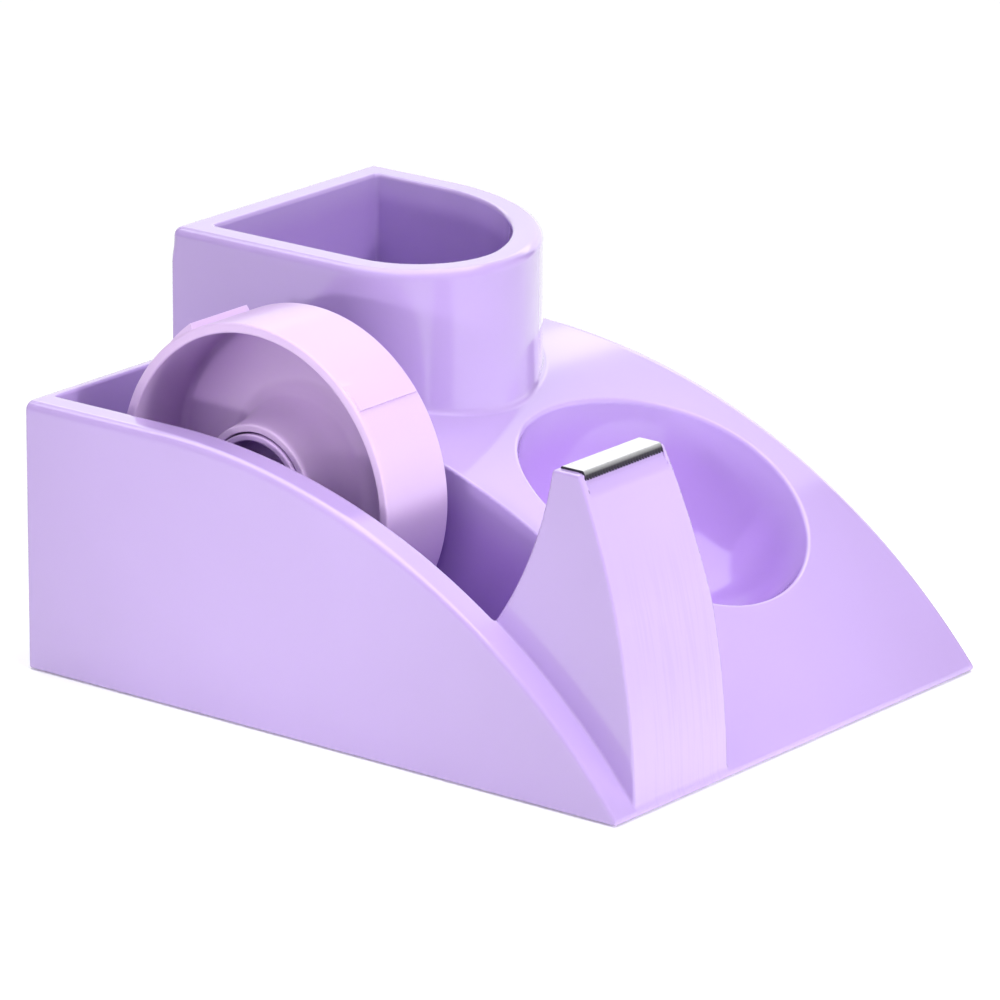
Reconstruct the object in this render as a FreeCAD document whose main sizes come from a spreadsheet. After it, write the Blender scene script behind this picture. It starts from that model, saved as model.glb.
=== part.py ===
import FreeCAD, Part
import os, math
import Sketcher

os.makedirs("parts", exist_ok=True)
V = FreeCAD.Vector
doc = FreeCAD.newDocument("TapeDispenserOrganizer")

# ---------------------------------------------------------------- dimensions
# Working frame: X across the front edge from the left side face, Y from the
# front edge to the back face, Z up from the surface that the feet stand on.
# Every sub-part is placed so that the origin ends up under the middle.
DIMS = [
    # overall body
    ("body_width", 130.0), ("body_length", 162.7), ("body_height", 61.5),
    ("top_flat_start", 125.5), ("front_lip", 1.1), ("ground_gap", 0.3), ("skin", 2.4),
    # tape well and cutter post
    ("well_left", 7.3), ("well_right", 39.8), ("well_back", 160.3), ("well_floor", 5.6),
    ("post_front_radius", 180.6), ("post_front_cy", 181.2), ("post_front_cz", -1.4),
    ("post_back_radius", 87.64), ("post_back_cy", 109.5), ("post_back_cz", 86.0),
    ("post_top", 71.6), ("post_taper", 3.3), ("post_taper_start", 38.0), ("blade_seat", 0.1),
    # pen cup
    ("cup_left", 56.1), ("cup_right", 113.1), ("cup_back", 156.0), ("cup_top", 90.5),
    ("cup_small_radius", 18.9), ("cup_small_cy", 113.3), ("cup_large_radius", 45.8),
    ("cup_wall", 7.0), ("cup_floor", 14.0),
    # clip dish, a ball-shaped bowl sunk in the slope
    ("dish_cx", 84.2), ("dish_cy", 48.7), ("dish_cz", 46.8), ("dish_radius", 34.7),
    # reel: wheel for large cores, spindle for small cores, axle, brackets
    ("reel_cy", 109.1), ("reel_cz", 48.0), ("reel_left", 13.2), ("reel_width", 20.7),
    ("reel_radius", 37.5), ("reel_inner_radius", 35.2), ("reel_web", 2.2),
    ("reel_hub_radius", 14.8), ("reel_hub_root", 18.0), ("reel_hub_bore", 13.2),
    ("reel_hub_inset", 1.2), ("ramp_shift", 6.2), ("low_ramp_shift", 2.2), ("ramp_inset", 0.8),
    ("spindle_radius", 12.8), ("spindle_bore", 11.4), ("spindle_web", 2.0),
    ("spindle_hub", 5.5), ("spindle_grip", 1.6),
    ("axle_radius", 3.0), ("axle_fit", 0.06), ("axle_flat", 4.6), ("axle_end_gap", 0.5),
    ("bracket_thick", 2.8), ("bracket_top", 55.0), ("bracket_half", 8.0), ("slot_play", 0.1),
    # blade
    ("blade_thick", 0.6), ("blade_left", 9.2), ("blade_right", 35.6),
    ("blade_back", 22.2), ("blade_front", 16.7), ("blade_lip", 1.75), ("tooth_depth", 0.8),
    ("blade_leg", 4.5), ("blade_play", 0.05), ("lip_relief", 0.4), ("relief_drop", 4.5),
    # base
    ("cover_bottom", 0.9), ("cover_top", 3.0), ("cover_gap", 0.3), ("cover_front", 6.0),
    ("boss_foot", 4.8), ("boss_radius", 3.6), ("pilot_radius", 1.3),
    ("screw_radius", 1.25), ("screw_head_radius", 2.8), ("screw_head", 1.4), ("screw_length", 9.0),
    ("foot_radius", 5.0), ("foot_recess", 0.7), ("ballast_thick", 5.0), ("ballast_play", 0.3),
    ("peg_radius", 3.0), ("peg_height", 4.7), ("ballast_head_radius", 4.4), ("ballast_head", 1.3),
    ("hook_front_y", 70.0), ("hook_back_y", 134.0), ("hook_length", 12.0), ("hook_top", 14.0),
]
SCREWS = [(22.0, 20.0), (118.5, 18.5), (123.6, 155.0), (48.0, 155.0), (47.4, 87.5)]
FEET = [("foot_front_left", 14.0, 12.5), ("foot_front_right", 106.0, 12.5),
        ("foot_rear_left", 14.0, 152.0), ("foot_rear_right", 112.0, 153.0)]
PLATES = {"ballast_plate_front": (51.0, 27.0, 117.0, 82.0),
          "ballast_plate_rear": (57.0, 95.0, 112.0, 144.0)}
PEGS = {"ballast_plate_front": [(56.5, 76.5), (111.5, 32.5)],
        "ballast_plate_rear": [(62.5, 138.5), (106.5, 100.5)]}

sheet = doc.addObject("Spreadsheet::Sheet", "Dimensions")
D = {}


def put(alias, value):
    row = len(D) + 1
    sheet.set("A%d" % row, alias)
    sheet.set("B%d" % row, "%.4f" % value)
    sheet.setAlias("B%d" % row, alias)
    D[alias] = float(value)


for alias, value in DIMS:
    put(alias, value)
for i, (px, py) in enumerate(SCREWS):
    put("screw%d_px" % i, px)
    put("screw%d_py" % i, py)
for name, px, py in FEET:
    put(name + "_px", px)
    put(name + "_py", py)
for name in sorted(PLATES):
    for key, num in zip(("left", "front", "right", "back"), PLATES[name]):
        put("%s_%s" % (name, key), num)
    for i, (px, py) in enumerate(PEGS[name]):
        put("%s_peg%d_px" % (name, i), px)
        put("%s_peg%d_py" % (name, i), py)
doc.recompute()


def words(text):
    out, word = [], ""
    for ch in text + " ":
        if ch.isalnum() or ch in "_.":
            word += ch
        else:
            if word:
                out.append(word)
            word = ""
            if ch.strip():
                out.append(ch)
    return out


def E(text):
    """expression: each alias gets the sheet's name in front"""
    return " ".join(("Dimensions." + w) if w in D else w for w in words(text)).replace("sqrt (", "sqrt(")


def driven(text):
    return any(w in D for w in words(text))


class Reader:
    """value of an expression (+ - * / ^ sqrt and brackets) from the sheet"""

    def __init__(self, text):
        self.t, self.i = words(text), 0

    def peek(self):
        return self.t[self.i] if self.i < len(self.t) else None

    def take(self):
        self.i += 1
        return self.t[self.i - 1]

    def total(self):
        v = self.product()
        while self.peek() in ("+", "-"):
            v = v + self.product() if self.take() == "+" else v - self.product()
        return v

    def product(self):
        v = self.power()
        while self.peek() in ("*", "/"):
            v = v * self.power() if self.take() == "*" else v / self.power()
        return v

    def power(self):
        v = self.atom()
        if self.peek() == "^":
            self.take()
            v = v ** self.atom()
        return v

    def atom(self):
        x = self.take()
        if x == "-":
            return -self.power()
        if x == "sqrt":
            return math.sqrt(self.atom())
        if x == "(":
            v = self.total()
            self.take()
            return v
        return D[x] if x in D else float(x)


def val(text):
    return Reader(text).total()


# ------------------------------------------------------------ drawing helpers
def new_body(label):
    b = doc.addObject("PartDesign::Body", label)
    b.Label = label
    return b


def sketch(body, name, role, offset="0"):
    s = body.newObject("Sketcher::SketchObject", name)
    s.AttachmentSupport = [([f for f in body.Origin.OriginFeatures if f.Role == role][0], "")]
    s.MapMode = "FlatFace"
    s.AttachmentOffset = FreeCAD.Placement(V(0, 0, val(offset)), FreeCAD.Rotation())
    if driven(offset):
        s.setExpression(".AttachmentOffset.Base.z", E(offset))
    return s


def bound(s, kind, args, text):
    i = s.addConstraint(Sketcher.Constraint(kind, *args, val(text)))
    if driven(text):
        s.setExpression("Constraints[%d]" % i, E(text))


def pin(s, geo, pos, ex, ey):
    for kind, e in (("DistanceX", ex), ("DistanceY", ey)):
        if e is None:
            continue
        if val(e) < 0:
            bound(s, kind, (geo, pos, -1, 1), "0 - (%s)" % e)
        else:
            bound(s, kind, (-1, 1, geo, pos), e)


def profile(s, pts, arcs=None):
    """closed outline. pts are (x, y) texts; arcs {k: (cx, cy, radius, ccw)} is
    for the edge from point k to the next. A point on an arc is driven along
    one axis only: y, or x when a third item says so."""
    arcs = arcs or {}
    n = len(pts)
    P = [V(val(p[0]), val(p[1]), 0) for p in pts]
    ids = []
    for k in range(n):
        a, b = P[k], P[(k + 1) % n]
        if k in arcs:
            cx, cy, r, ccw = arcs[k][:4]
            c = V(val(cx), val(cy), 0)
            a0, a1 = math.atan2(a.y - c.y, a.x - c.x), math.atan2(b.y - c.y, b.x - c.x)
            if not ccw:
                a0, a1 = a1, a0
            while a1 <= a0:
                a1 += 2 * math.pi
            g = Part.ArcOfCircle(Part.Circle(c, V(0, 0, 1), val(r)), a0, a1)
            ids.append((s.addGeometry(g, False), (1, 2) if ccw else (2, 1)))
        else:
            ids.append((s.addGeometry(Part.LineSegment(a, b), False), (1, 2)))
    for k in range(n):
        g, (p0, p1) = ids[k]
        g2, (q0, q1) = ids[(k + 1) % n]
        s.addConstraint(Sketcher.Constraint("Coincident", g, p1, g2, q0))
    for k in range(n):
        g, (p0, p1) = ids[k]
        on_arc = k in arcs or (k - 1) % n in arcs
        axis = pts[k][2] if len(pts[k]) > 2 else "y"
        if not on_arc:
            pin(s, g, p0, pts[k][0], pts[k][1])
        elif axis == "x":
            pin(s, g, p0, pts[k][0], None)
        else:
            pin(s, g, p0, None, pts[k][1])
    for k in arcs:
        cx, cy, r, ccw = arcs[k][:4]
        free = arcs[k][4] if len(arcs[k]) > 4 else ""
        pin(s, ids[k][0], 3, cx, None if "y" in free else cy)
        bound(s, "Radius", (ids[k][0],), r)
    return ids


def rect(s, x0, y0, x1, y1):
    return profile(s, [(x0, y0), (x1, y0), (x1, y1), (x0, y1)])


def circle(s, ex, ey, er):
    g = s.addGeometry(Part.Circle(V(val(ex), val(ey), 0), V(0, 0, 1), val(er)), False)
    pin(s, g, 3, ex, ey)
    bound(s, "Radius", (g,), er)


def pad(body, s, length, name):
    p = body.newObject("PartDesign::Pad", name)
    p.Profile = s
    p.Length = val(length)
    if driven(length):
        p.setExpression("Length", E(length))
    body.Tip = p
    doc.recompute()
    return p


def pocket(body, s, length, name, up=True):
    """removes the sketch's area along its plane's normal (up) or against it"""
    before = body.Shape.Volume
    p = body.newObject("PartDesign::Pocket", name)
    p.Profile = s
    p.Length = val(length)
    if driven(length):
        p.setExpression("Length", E(length))
    p.Reversed = up
    body.Tip = p
    doc.recompute()
    if not body.Shape.Volume < before - 1e-4:
        raise RuntimeError("%s cuts nothing" % name)
    return p


def block(label, role, offset, length, draw):
    b = new_body(label)
    s = sketch(b, label + "_sketch", role, offset)
    draw(s)
    pad(b, s, length, label + "_pad")
    return b


def boolean(kind, label, base, tools):
    o = doc.addObject("Part::" + kind, label)
    if kind == "Cut":
        o.Base, o.Tool = base, tools
    else:
        o.Shapes = [base] + list(tools)
    doc.recompute()
    if o.Shape.isNull() or not o.Shape.isValid():
        raise RuntimeError("%s is not a valid solid" % label)
    return o


def ends(e):
    return [e.valueAt(e.FirstParameter), e.valueAt((e.FirstParameter + e.LastParameter) / 2.0),
            e.valueAt(e.LastParameter)]


def rounded(label, base, picks):
    """Part::Fillet; picks are (test on an edge's three points, radius at its
    lower-Y end, radius at its upper-Y end)"""
    f = doc.addObject("Part::Fillet", label)
    f.Base = base
    chosen = []
    for test, low, high in picks:
        found = 0
        for i, e in enumerate(base.Shape.Edges):
            p = ends(e)
            if test(p):
                r = (low, high) if p[0].y <= p[2].y else (high, low)
                chosen.append((i + 1, r[0], r[1]))
                found += 1
        if not found:
            raise RuntimeError("%s finds no edge" % label)
    f.Edges = chosen
    doc.recompute()
    if f.Shape.isNull() or not f.Shape.isValid():
        raise RuntimeError("%s fails" % label)
    return f


def near(a, b, tol=0.02):
    return abs(a - b) < tol


# ------------------------------------------------------------- shell, outside
RISE = "(body_height - ground_gap - front_lip)"
ARCH_R = "((top_flat_start ^ 2 + %s ^ 2) / (2 * %s))" % (RISE, RISE)
ARCH_CZ = "(body_height - %s)" % ARCH_R


def arch(s):
    profile(s, [("0", "ground_gap"), ("body_length", "ground_gap"), ("body_length", "body_height"),
                ("top_flat_start", "body_height", "x"), ("0", "ground_gap + front_lip", "x")],
            {3: ("top_flat_start", ARCH_CZ, ARCH_R, True)})


def cup_outline(s, grow, back):
    """the D of the pen cup: two straight sides and two arcs that meet smoothly"""
    r1 = "(cup_small_radius + %s)" % grow
    r2 = "(cup_large_radius + %s)" % grow
    c1x = "(cup_left + cup_small_radius)"
    c2x = "(cup_right - cup_large_radius)"
    dr = "(cup_large_radius - cup_small_radius)"
    c2y = "(cup_small_cy + sqrt(%s ^ 2 - (%s - %s) ^ 2))" % (dr, c2x, c1x)
    tx = "(%s + %s * (%s - %s) / %s)" % (c1x, r1, c1x, c2x, dr)
    ty = "(cup_small_cy + %s * (cup_small_cy - %s) / %s)" % (r1, c2y, dr)
    profile(s, [("cup_left - %s" % grow, back), ("cup_left - %s" % grow, "cup_small_cy"),
                (tx, ty, "x"), ("cup_right + %s" % grow, c2y), ("cup_right + %s" % grow, back)],
            {1: (c1x, "cup_small_cy", r1, True), 2: (c2x, c2y, r2, True, "y")})


BACK_ARC = ("post_back_cy", "post_back_cz", "post_back_radius")
FRONT_ARC = ("post_front_cy", "post_front_cz", "post_front_radius")


def on_back(z, grow="0"):
    return "(post_back_cy - sqrt((post_back_radius + %s) ^ 2 - (%s - post_back_cz) ^ 2))" % (grow, z)


def on_front(z, grow="0"):
    return "(post_front_cy - sqrt((post_front_radius - %s) ^ 2 - (%s - post_front_cz) ^ 2))" % (grow, z)


wedge = block("wedge_solid", "YZ_Plane", "0", "body_width", arch)
H, L, W = D["body_height"], D["body_length"], D["body_width"]
wedge_round = rounded("wedge_rounded", wedge, [
    (lambda p: near(p[1].x, W) and p[1].z > 20 and p[1].y < 100, 0.6, 7.6),
    (lambda p: near(p[1].x, W) and near(p[0].z, H) and near(p[2].z, H), 7.6, 7.6),
    (lambda p: near(p[1].x, 0) and p[1].z > 20 and p[1].y < 100, 0.7, 2.2),
    (lambda p: near(p[1].x, 0) and near(p[0].z, H) and near(p[2].z, H), 2.2, 2.2),
])

cup_solid = block("cup_solid", "XY_Plane", "30", "cup_top - 30",
                  lambda s: cup_outline(s, "cup_wall", "body_length"))
body_and_cup = boolean("MultiFuse", "body_and_cup", wedge_round, [cup_solid])
CT = D["cup_top"]
xl, xr = D["cup_left"] - D["cup_wall"], D["cup_right"] + D["cup_wall"]


def cove(p):
    """edges where the cup's wall stands on the top"""
    return all(50 < q.z < H + 0.05 and xl - 0.05 < q.x < xr + 0.05 and q.y > 80 for q in p) \
        and not all(near(q.y, L) for q in p)


cup_round = rounded("cup_rounded", body_and_cup, [
    (lambda p: all(near(q.z, CT) for q in p), 2.2, 2.2),
    (cove, 1.2, 1.2),
])

# the well runs back from the post's hollow back face to the thin back wall
well_cut = block("well_cut", "YZ_Plane", "well_left", "well_right - well_left", lambda s: profile(
    s, [(on_back("well_floor"), "well_floor"), ("well_back", "well_floor"),
        ("well_back", "body_height + 20"), (on_back("post_top"), "post_top")],
    {3: BACK_ARC + (True,)}))
post = block("post_solid", "YZ_Plane", "well_left", "well_right - well_left", lambda s: profile(
    s, [(on_front("ground_gap"), "ground_gap"), ("40", "ground_gap"), (on_back("20"), "20"),
        (on_back("post_top"), "post_top"), (on_front("post_top"), "post_top")],
    {2: BACK_ARC + (False,), 4: FRONT_ARC + (True,)}))
post_taper = block("post_taper_cut", "XZ_Plane", "-38", "42", lambda s: profile(
    s, [("well_right", "post_taper_start"), ("well_right + 3", "post_taper_start"),
        ("well_right + 3", "post_top + 1"), ("well_right - post_taper", "post_top + 1")]))
post_tapered = boolean("Cut", "post_tapered", post, post_taper)
cup_pocket = new_body("cup_pocket")
sk = sketch(cup_pocket, "cup_pocket_sketch", "XY_Plane", "cup_floor")
cup_outline(sk, "0", "cup_back")
pad(cup_pocket, sk, "cup_top - cup_floor + 1", "cup_pocket_pad")
cup_pocket_round = rounded("cup_pocket_rounded", cup_pocket, [
    (lambda p: all(near(q.z, D["cup_floor"]) for q in p), 4.0, 4.0)])
dish = doc.addObject("Part::Sphere", "dish_bowl")
dish.setExpression("Radius", E("dish_radius"))
for ax, al in (("x", "dish_cx"), ("y", "dish_cy"), ("z", "dish_cz")):
    dish.setExpression(".Placement.Base." + ax, E(al))
seat = block("blade_seat_cut", "YZ_Plane", "blade_left - blade_play",
             "blade_right - blade_left + 2 * blade_play", lambda s: profile(s, [
                 ("blade_back + blade_play", "post_top + 1"),
                 ("blade_back + blade_play", "post_top - blade_leg - 0.3"),
                 ("blade_back - blade_thick - blade_play", "post_top - blade_leg - 0.3"),
                 ("blade_back - blade_thick - blade_play", "post_top - blade_seat"),
                 ("blade_front + lip_relief", "post_top - blade_seat"),
                 (on_front("(post_top - relief_drop)"), "post_top - relief_drop"),
                 ("blade_front - 3.2", "post_top - relief_drop"),
                 ("blade_front - 3.2", "post_top + 1")]))
s1 = boolean("Cut", "outer_less_well", cup_round, well_cut)
s2 = boolean("Cut", "outer_less_cup", s1, cup_pocket_round)
s3 = boolean("MultiFuse", "outer_with_post", s2, [post_tapered])
s4 = boolean("Cut", "outer_less_dish", s3, dish)
s5 = boolean("Cut", "outer_form", s4, seat)

# -------------------------------------------------------------- shell, inside
# the moulding is hollow: what follows is the space inside it
inner = block("hollow_wedge", "YZ_Plane", "skin", "body_width - 2 * skin", lambda s: profile(
    s, [("top_flat_start - sqrt((%s - skin) ^ 2 - (ground_gap - 1 - %s) ^ 2)" % (ARCH_R, ARCH_CZ),
         "ground_gap - 1"),
        ("body_length - skin", "ground_gap - 1"), ("body_length - skin", "body_height - skin"),
        ("top_flat_start", "body_height - skin", "x")],
    {3: ("top_flat_start", ARCH_CZ, "(%s - skin)" % ARCH_R, True)}))
sk_ = D["skin"]
inner_round = rounded("hollow_wedge_rounded", inner, [
    (lambda p: near(p[1].x, W - sk_) and p[1].z > 15 and p[1].y < 100, 0.3, 5.2),
    (lambda p: near(p[1].x, W - sk_) and near(p[0].z, H - sk_) and near(p[2].z, H - sk_), 5.2, 5.2)])
ring = block("hollow_cup_wall", "XY_Plane", "20", "cup_top - skin - 1 - 20",
             lambda s: cup_outline(s, "(cup_wall - skin)", "body_length - skin"))
h1 = boolean("MultiFuse", "hollow_with_ring", inner_round, [ring])
well_skin = block("well_skin", "YZ_Plane", "well_left - skin", "well_right - well_left + 2 * skin",
                  lambda s: profile(s, [
                      (on_back("(well_floor - skin)", "skin"), "well_floor - skin"),
                      ("body_length + 1", "well_floor - skin"),
                      ("body_length + 1", "body_height + 20"),
                      (on_back("post_top", "skin"), "post_top")],
                      {3: ("post_back_cy", "post_back_cz", "(post_back_radius + skin)", True)}))
h2 = boolean("Cut", "hollow_less_well", h1, well_skin)
post_space = block("hollow_post", "YZ_Plane", "well_left + skin",
                   "well_right - well_left - 2 * skin - post_taper", lambda s: profile(s, [
                       (on_front("(ground_gap - 1)", "skin"), "ground_gap - 1"), ("30", "ground_gap - 1"),
                       (on_back("20", "skin"), "20"), (on_back("(post_top - 7)", "skin"), "post_top - 7"),
                       (on_front("(post_top - 7)", "skin"), "post_top - 7")],
                       {2: ("post_back_cy", "post_back_cz", "(post_back_radius + skin)", False),
                        4: ("post_front_cy", "post_front_cz", "(post_front_radius - skin)", True)}))
h3 = boolean("MultiFuse", "hollow_with_post", h2, [post_space])
cup_skin = block("cup_skin", "XY_Plane", "cup_floor - skin", "cup_top",
                 lambda s: cup_outline(s, "skin", "cup_back + skin"))
h4 = boolean("Cut", "hollow_less_cup", h3, cup_skin)
dish_skin = doc.addObject("Part::Sphere", "dish_skin")
dish_skin.setExpression("Radius", E("dish_radius + skin"))
for ax, al in (("x", "dish_cx"), ("y", "dish_cy"), ("z", "dish_cz")):
    dish_skin.setExpression(".Placement.Base." + ax, E(al))
h5 = boolean("Cut", "hollow_less_dish", h4, dish_skin)


def bosses(s):
    for i in range(len(SCREWS)):
        circle(s, "screw%d_px" % i, "screw%d_py" % i, "boss_radius")


boss_posts = block("screw_bosses", "XY_Plane", "boss_foot", "body_height", bosses)
h6 = boolean("Cut", "hollow_form", h5, boss_posts)
s6 = boolean("Cut", "shell_hollowed", s5, h6)


# open-topped brackets on both walls of the well carry the axle
def bracket(s):
    half = "(axle_flat / 2 + slot_play)"
    profile(s, [("reel_cy - bracket_half - 4", "well_floor - 1"), ("reel_cy + bracket_half + 4", "well_floor - 1"),
                ("reel_cy + bracket_half", "bracket_top"), ("reel_cy + %s + 1.2" % half, "bracket_top"),
                ("reel_cy + %s" % half, "bracket_top - 1.6"),
                ("reel_cy + %s" % half, "reel_cz - axle_radius - 0.02"),
                ("reel_cy - %s" % half, "reel_cz - axle_radius - 0.02"),
                ("reel_cy - %s" % half, "bracket_top - 1.6"),
                ("reel_cy - %s - 1.2" % half, "bracket_top"), ("reel_cy - bracket_half", "bracket_top")])


bracket_left = block("bracket_left", "YZ_Plane", "well_left - 0.5", "bracket_thick + 0.5", bracket)
bracket_right = block("bracket_right", "YZ_Plane", "well_right - bracket_thick", "bracket_thick + 0.5", bracket)
s7 = boolean("MultiFuse", "shell_with_brackets", s6, [bracket_left, bracket_right])


def pilots(s):
    for i in range(len(SCREWS)):
        circle(s, "screw%d_px" % i, "screw%d_py" % i, "pilot_radius")


pilot_holes = block("pilot_holes", "XY_Plane", "boss_foot - 1", "9.5", pilots)
body_shell = boolean("Cut", "body_shell", s7, pilot_holes)

# ----------------------------------------------------------------- base cover
cover = new_body("base_cover")
sk = sketch(cover, "cover_plate", "XY_Plane", "cover_bottom")
rect(sk, "skin + cover_gap", "cover_front", "body_width - skin - cover_gap", "body_length - skin - cover_gap")
pad(cover, sk, "cover_top - cover_bottom", "cover_plate_pad")
sk = sketch(cover, "cover_boss_sketch", "XY_Plane", "cover_top")
for i in range(len(SCREWS)):
    circle(sk, "screw%d_px" % i, "screw%d_py" % i, "boss_radius")
pad(cover, sk, "boss_foot - cover_top", "cover_boss_pad")
sk = sketch(cover, "cover_peg_sketch", "XY_Plane", "cover_top")
for name in sorted(PEGS):
    for i in range(2):
        circle(sk, "%s_peg%d_px" % (name, i), "%s_peg%d_py" % (name, i), "peg_radius")
pad(cover, sk, "peg_height", "cover_peg_pad")
sk = sketch(cover, "cover_hook_sketch", "XY_Plane", "cover_top")
for y in ("hook_front_y", "hook_back_y"):
    rect(sk, "skin + cover_gap", y, "well_left - skin - cover_gap", "%s + hook_length" % y)
pad(cover, sk, "hook_top - cover_top", "cover_hook_pad")
sk = sketch(cover, "cover_head_sketch", "XY_Plane", "cover_bottom")
for i in range(len(SCREWS)):
    circle(sk, "screw%d_px" % i, "screw%d_py" % i, "screw_head_radius + 0.3")
pocket(cover, sk, "screw_head + 0.5", "cover_head_pocket")
sk = sketch(cover, "cover_hole_sketch", "XY_Plane", "cover_bottom")
for i in range(len(SCREWS)):
    circle(sk, "screw%d_px" % i, "screw%d_py" % i, "screw_radius + 0.35")
pocket(cover, sk, "boss_foot", "cover_hole_pocket")
sk = sketch(cover, "cover_foot_sketch", "XY_Plane", "cover_bottom")
for name, px, py in FEET:
    circle(sk, name + "_px", name + "_py", "foot_radius + 0.15")
pocket(cover, sk, "foot_recess", "cover_foot_pocket")
sk = sketch(cover, "cover_peg_hole_sketch", "XY_Plane", "cover_top - 0.5")
for name in sorted(PEGS):
    for i in range(2):
        circle(sk, "%s_peg%d_px" % (name, i), "%s_peg%d_py" % (name, i), "pilot_radius")
pocket(cover, sk, "peg_height + 1", "cover_peg_hole_pocket")

# ------------------------------------------------------------- ballast plates
plates = []
for name in sorted(PLATES):
    b = new_body(name)
    sk = sketch(b, name + "_outline", "XY_Plane", "cover_top")
    rect(sk, name + "_left", name + "_front", name + "_right", name + "_back")
    pad(b, sk, "ballast_thick", name + "_pad")
    sk = sketch(b, name + "_hole_sketch", "XY_Plane", "cover_top")
    for i in range(2):
        circle(sk, "%s_peg%d_px" % (name, i), "%s_peg%d_py" % (name, i), "peg_radius + ballast_play")
    pocket(b, sk, "ballast_thick", name + "_holes")
    solid = b.Tip
    cham = b.newObject("PartDesign::Chamfer", name + "_corner_cuts")
    cham.Base = (solid, ["Edge%d" % (i + 1) for i, e in enumerate(solid.Shape.Edges)
                         if near(e.valueAt(e.FirstParameter).x, e.valueAt(e.LastParameter).x)
                         and near(e.valueAt(e.FirstParameter).y, e.valueAt(e.LastParameter).y)
                         and abs(e.valueAt(e.FirstParameter).z - e.valueAt(e.LastParameter).z) > 3
                         and e.Curve.TypeId == "Part::GeomLine"
                         and min(abs(e.valueAt(e.FirstParameter).x - D[name + "_left"]),
                                 abs(e.valueAt(e.FirstParameter).x - D[name + "_right"])) < 0.01])
    cham.Size = 3.0
    b.Tip = cham
    doc.recompute()
    plates.append(b)

# ---------------------------------------------------------------- rubber feet
feet = []
for name, px, py in FEET:
    b = new_body(name)
    sk = sketch(b, name + "_sketch", "XY_Plane", "0")
    circle(sk, name + "_px", name + "_py", "foot_radius")
    pad(b, sk, "cover_bottom + foot_recess", name + "_pad")
    solid = b.Tip
    f = b.newObject("PartDesign::Fillet", name + "_edge")
    f.Base = (solid, ["Edge%d" % (i + 1) for i, e in enumerate(solid.Shape.Edges)
                      if near(e.BoundBox.ZMax, 0.0)])
    f.Radius = 0.35
    b.Tip = f
    doc.recompute()
    feet.append(b)


# -------------------------------------------------------------------- screws
def one_screw(head_r, head_t, shank_r, length):
    """countersunk-free pan head screw, head down at z = 0, shank up, with a
    cross recess, a thread drawn as shallow rings and a blunt point"""
    head = Part.makeCylinder(head_r, head_t, V(0, 0, 0))
    head = head.makeFillet(head_t * 0.45, [e for e in head.Edges
                                           if near(e.BoundBox.ZMax, 0.0) and e.Length > 1])
    pts = [V(0, 0, head_t - 0.2), V(shank_r, 0, head_t - 0.2), V(shank_r, 0, head_t + 0.6)]
    z = head_t + 0.6
    core = shank_r - 0.28
    while z + 1.0 < head_t + length - 1.2:
        pts += [V(core, 0, z + 0.35), V(core, 0, z + 0.45), V(shank_r, 0, z + 0.8), V(shank_r, 0, z + 0.9)]
        z += 0.9
    pts += [V(core, 0, z + 0.4), V(0.35, 0, head_t + length), V(0, 0, head_t + length)]
    clean = [pts[0]]
    for p in pts[1:]:
        if (p - clean[-1]).Length > 1e-6:
            clean.append(p)
    clean.append(clean[0])
    shank = Part.Face(Part.Wire(Part.makePolygon(clean).Edges)).revolve(V(0, 0, 0), V(0, 0, 1), 360)
    solid = head.fuse(shank).removeSplitter()
    w, d = head_r * 0.28, head_t * 0.6
    for a in (0, 90):
        bar = Part.makeBox(head_r * 1.15, w, d + 1, V(-head_r * 0.575, -w / 2, -1))
        bar.rotate(V(0, 0, 0), V(0, 0, 1), a)
        solid = solid.cut(bar)
    return solid


def group(label, shapes):
    o = doc.addObject("Part::Feature", label)
    o.Label = label
    o.Shape = Part.makeCompound(shapes)
    return o


base_one = one_screw(D["screw_head_radius"], D["screw_head"], D["screw_radius"], D["screw_length"])
shapes = []
for i in range(len(SCREWS)):
    c = base_one.copy()
    c.rotate(V(0, 0, 0), V(0, 0, 1), 17.0 + 31.0 * i)
    c.translate(V(D["screw%d_px" % i], D["screw%d_py" % i], D["cover_bottom"] + 0.5))
    shapes.append(c)
base_screws = group("base_screws", shapes)

ballast_one = one_screw(D["ballast_head_radius"], D["ballast_head"], D["screw_radius"], 4.6)
shapes = []
for name in sorted(PEGS):
    for i in range(2):
        c = ballast_one.copy()
        c.rotate(V(0, 0, 0), V(0, 0, 1), 23.0 + 40.0 * i)
        c.rotate(V(0, 0, 0), V(1, 0, 0), 180)
        c.translate(V(D["%s_peg%d_px" % (name, i)], D["%s_peg%d_py" % (name, i)],
                      D["cover_top"] + D["ballast_thick"] + D["ballast_head"]))
        shapes.append(c)
ballast_screws = group("ballast_screws", shapes)

# ---------------------------------------------------------------------- blade
blade = new_body("cutter_blade")
sk = sketch(blade, "blade_section", "YZ_Plane", "blade_left")
LIP_COS, LIP_SIN = "0.5", "0.8660"
profile(sk, [
    ("blade_back - blade_thick", "post_top - blade_leg"), ("blade_back", "post_top - blade_leg"),
    ("blade_back", "post_top - blade_seat + blade_thick"),
    ("blade_front - blade_thick * 0.5774", "post_top - blade_seat + blade_thick"),
    ("blade_front - blade_lip * %s - blade_thick * %s * 0.35" % (LIP_COS, LIP_SIN),
     "post_top - blade_seat - blade_lip * %s + blade_thick * %s * 0.35" % (LIP_SIN, LIP_COS)),
    ("blade_front - blade_lip * %s" % LIP_COS, "post_top - blade_seat - blade_lip * %s" % LIP_SIN),
    ("blade_front", "post_top - blade_seat"),
    ("blade_back - blade_thick", "post_top - blade_seat")])
pad(blade, sk, "blade_right - blade_left", "blade_strip")
TEETH = 28
pitch = "((blade_right - blade_left) / %d)" % TEETH
tip_y = "(blade_front - blade_lip * %s - blade_thick * %s * 0.35)" % (LIP_COS, LIP_SIN)
sk = sketch(blade, "tooth_gap", "XY_Plane", "post_top - 4")
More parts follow.
